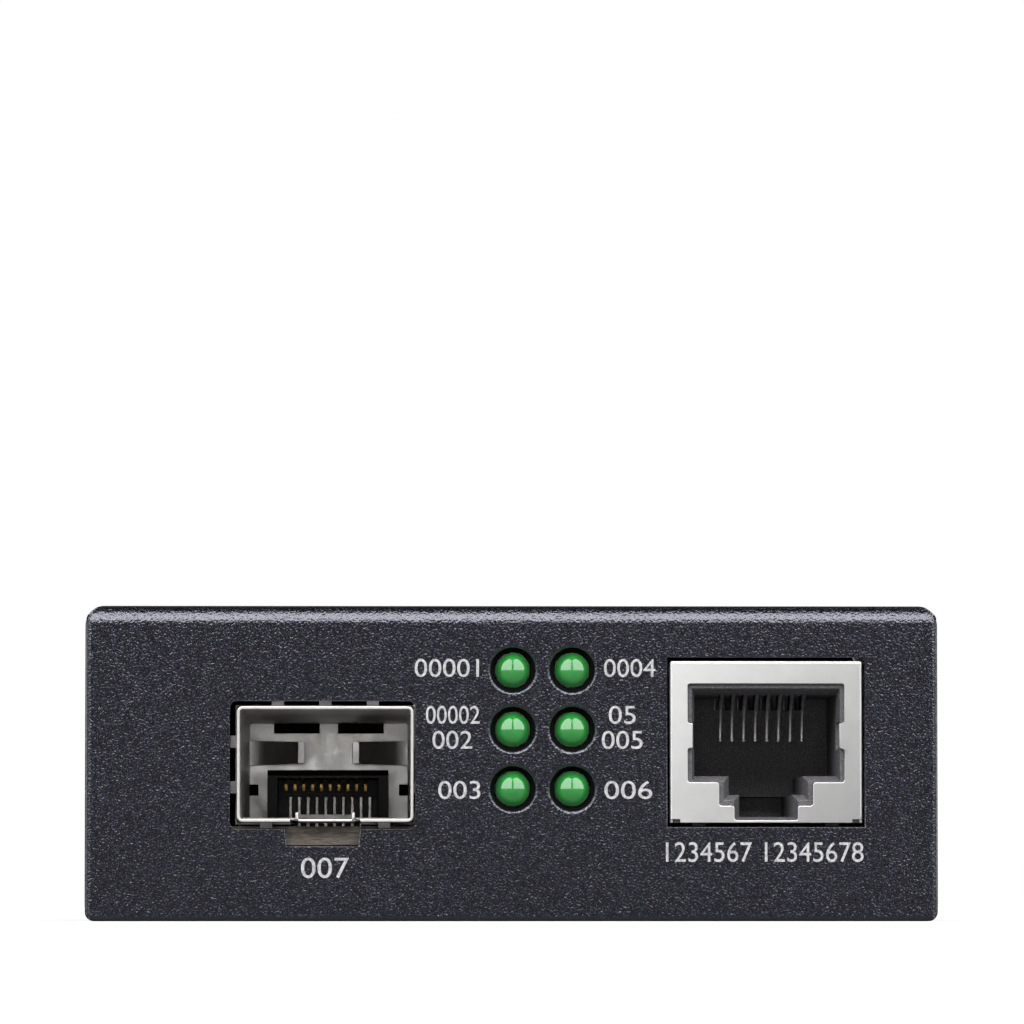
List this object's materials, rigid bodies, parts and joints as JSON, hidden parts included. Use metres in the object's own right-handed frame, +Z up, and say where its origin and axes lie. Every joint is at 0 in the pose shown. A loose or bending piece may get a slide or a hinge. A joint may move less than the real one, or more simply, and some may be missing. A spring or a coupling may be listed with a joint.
{
  "type": "fibre media converter",
  "caption": "Compact black steel network converter box with a pluggable fibre module cage, a copper network port and green status lamps on its front, power jack and mode switch behind.",
  "frame": {"origin": "on the standing surface, under the middle of the case", "axes": "+X to the right as seen from the front, +Y from the front panel to the rear, +Z up"},
  "size_m": [0.073, 0.0945, 0.027],
  "materials": {
    "black_powder_coat": "fine textured powder coat on steel",
    "black_zinc_steel": "black plated screw steel",
    "board_laminate": "glass laminate with green solder resist",
    "white_nylon": "natural nylon",
    "tinned_steel": "tin-plated sheet",
    "spring_steel": "thin rolled spring sheet",
    "nickel_shield": "satin nickel plating",
    "nickel_pin": "bright nickel plating",
    "gold_contact": "gold-plated contact",
    "black_moulding": "moulded plastic, fine matt",
    "port_moulding": "moulded plastic, speckled",
    "chip_moulding": "epoxy moulding",
    "switch_moulding": "moulded plastic",
    "brown_laminate": "phenolic sheet",
    "ferrite": "pressed ferrite",
    "green_lens": "diffused epoxy"
  },
  "bodies": {
    "case": {"base_tray": "black_powder_coat", "board_supports": "white_nylon", "case_screws": "black_zinc_steel", "circuit_board": "board_laminate", "converter_chip": "chip_moulding", "crystal": "nickel_shield", "lamp_1": "green_lens", "lamp_2": "green_lens", "lamp_3": "green_lens", "lamp_4": "green_lens", "lamp_5": "green_lens", "lamp_6": "green_lens", "lamp_holder": "black_moulding", "lamp_leads": "tinned_steel", "lan_transformer": "chip_moulding", "network_port_contacts": "gold_contact", "network_port_housing": "port_moulding", "network_port_shield": "nickel_shield", "power_inductor": "ferrite", "power_jack_housing": "black_moulding", "power_jack_pin": "nickel_pin", "power_jack_spring": "spring_steel", "regulator": "chip_moulding", "sfp_cage_floor": "tinned_steel", "sfp_cage_shell": "tinned_steel", "sfp_connector_housing": "black_moulding", "sfp_contacts_lower": "gold_contact", "sfp_contacts_upper": "gold_contact", "sfp_ground_springs": "spring_steel", "switch_base": "brown_laminate", "switch_frame": "nickel_shield", "switch_terminals": "tinned_steel", "top_cover": "black_powder_coat"},
    "switch_slider": {"mode_slider": "switch_moulding"}
  },
  "joints": [
    {"name": "mode_switch", "type": "slide", "parent": "case", "child": "switch_slider", "axis": [1, 0, 0], "range_m": [0, 0.002]}
  ]
}
